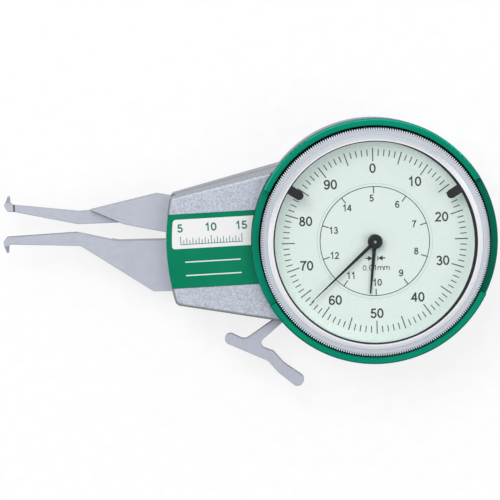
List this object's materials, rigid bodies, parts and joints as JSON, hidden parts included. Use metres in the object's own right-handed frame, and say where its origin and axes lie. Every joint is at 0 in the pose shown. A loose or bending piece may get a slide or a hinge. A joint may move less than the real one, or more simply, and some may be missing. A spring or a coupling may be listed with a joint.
{
  "type": "internal dial caliper gauge",
  "caption": "Internal dial caliper gauge: two slim measuring arms with hooked tips leave a tapered body with a round dial; a finger lever closes the arms.",
  "frame": {"origin": "on the flat back face, on the axis of the dial", "axes": "+X points away from the measuring arms along the gauge's length, +Y away from the finger lever, +Z out of the dial"},
  "size_m": [0.1097, 0.0594, 0.022],
  "materials": {
    "cast_aluminium": "blasted die casting, satin",
    "screw_steel": "bright slotted screw",
    "green_panel": "satin green print on sheet",
    "green_ring": "semi-gloss green",
    "arm_steel": "satin plated",
    "hard_steel": "ground",
    "bronze": "turned",
    "spring_steel": "spring wire and strip",
    "plate_brass": "flat, fine grained",
    "wheel_brass": "cut and polished",
    "hand_black": "satin black",
    "bezel_chrome": "satin chrome",
    "clear_crystal": "clear",
    "black_plastic": "matt black",
    "dial_face": "matt pale mint"
  },
  "bodies": {
    "gauge_body": {"front_housing": "cast_aluminium", "back_cover": "cast_aluminium", "cover_screws": "screw_steel", "name_panel": "green_panel", "guard_ring": "green_ring", "fixed_arm": "arm_steel", "fixed_arm_screws": "screw_steel", "pivot_pin": "hard_steel", "pivot_washer": "bronze", "pivot_clip": "spring_steel", "stop_pins": "hard_steel", "spring_post": "hard_steel", "return_spring": "spring_steel", "rear_plate": "plate_brass", "front_plate": "plate_brass", "arbor_bushes": "bronze", "plate_pillars": "plate_brass", "pillar_screws": "screw_steel", "movement_screws": "screw_steel", "hairspring": "spring_steel", "hairspring_stud": "hard_steel", "bezel_snap_ring": "spring_steel"},
    "arm": {"movable_arm": "arm_steel", "pivot_bush": "bronze", "finger_lever": "arm_steel", "gear_sector": "wheel_brass", "arm_screws": "screw_steel", "spring_pin": "hard_steel"},
    "intermediate_train": {"intermediate_arbor": "hard_steel", "intermediate_wheel": "wheel_brass", "counter_drive_gear": "wheel_brass"},
    "long_hand_train": {"centre_arbor": "hard_steel", "long_hand": "hand_black"},
    "short_hand_train": {"counter_wheel": "wheel_brass", "short_hand": "hand_black"},
    "backlash_train": {"backlash_arbor": "hard_steel", "backlash_wheel": "wheel_brass", "hairspring_collet": "wheel_brass"},
    "bezel_set": {"bezel": "bezel_chrome", "crystal": "clear_crystal", "spacer_ring": "black_plastic", "dial_plate": "dial_face", "dial_retaining_ring": "spring_steel"},
    "left_marker": {"marker_left": "black_plastic"},
    "right_marker": {"marker_right": "black_plastic"}
  },
  "joints": [
    {"name": "arm_pivot", "type": "hinge", "parent": "gauge_body", "child": "arm", "pos_m": [-0.0382, 0.0022, 0], "axis": [0, 0, 1], "range_deg": [-3.1, 10.3], "stiffness_Nm_per_rad": 0.36, "deforming": ["return_spring"]},
    {"name": "intermediate_spin", "type": "hinge", "parent": "gauge_body", "child": "intermediate_train", "pos_m": [-0.00914, 0.0073, 0], "axis": [0, 0, 1], "range_deg": [-233.8, 71.1]},
    {"name": "long_hand_spin", "type": "hinge", "parent": "gauge_body", "child": "long_hand_train", "pos_m": [0, 0, 0], "axis": [0, 0, 1], "range_deg": [-841.7, 2794.4]},
    {"name": "short_hand_spin", "type": "hinge", "parent": "gauge_body", "child": "short_hand_train", "pos_m": [0, 0, 0], "axis": [0, 0, 1], "range_deg": [-85.1, 280.3]},
    {"name": "backlash_spin", "type": "hinge", "parent": "gauge_body", "child": "backlash_train", "pos_m": [0.0051, -0.00428, 0], "axis": [0, 0, 1], "range_deg": [-437.5, 132.4], "deforming": ["hairspring"]},
    {"name": "bezel_turn", "type": "hinge", "parent": "gauge_body", "child": "bezel_set", "pos_m": [0, 0, 0], "axis": [0, 0, 1], "continuous": true},
    {"name": "marker_left_slide", "type": "hinge", "parent": "bezel_set", "child": "left_marker", "pos_m": [0, 0, 0], "axis": [0, 0, 1], "range_deg": [-45, 120]},
    {"name": "marker_right_slide", "type": "hinge", "parent": "bezel_set", "child": "right_marker", "pos_m": [0, 0, 0], "axis": [0, 0, 1], "range_deg": [-115, 55]}
  ],
  "couplings": [
    {"joint": "intermediate_spin", "follows": "arm_pivot", "ratio": -22.6},
    {"joint": "long_hand_spin", "follows": "arm_pivot", "ratio": 271.2},
    {"joint": "short_hand_spin", "follows": "arm_pivot", "ratio": 27.12},
    {"joint": "backlash_spin", "follows": "arm_pivot", "ratio": -42.375}
  ]
}
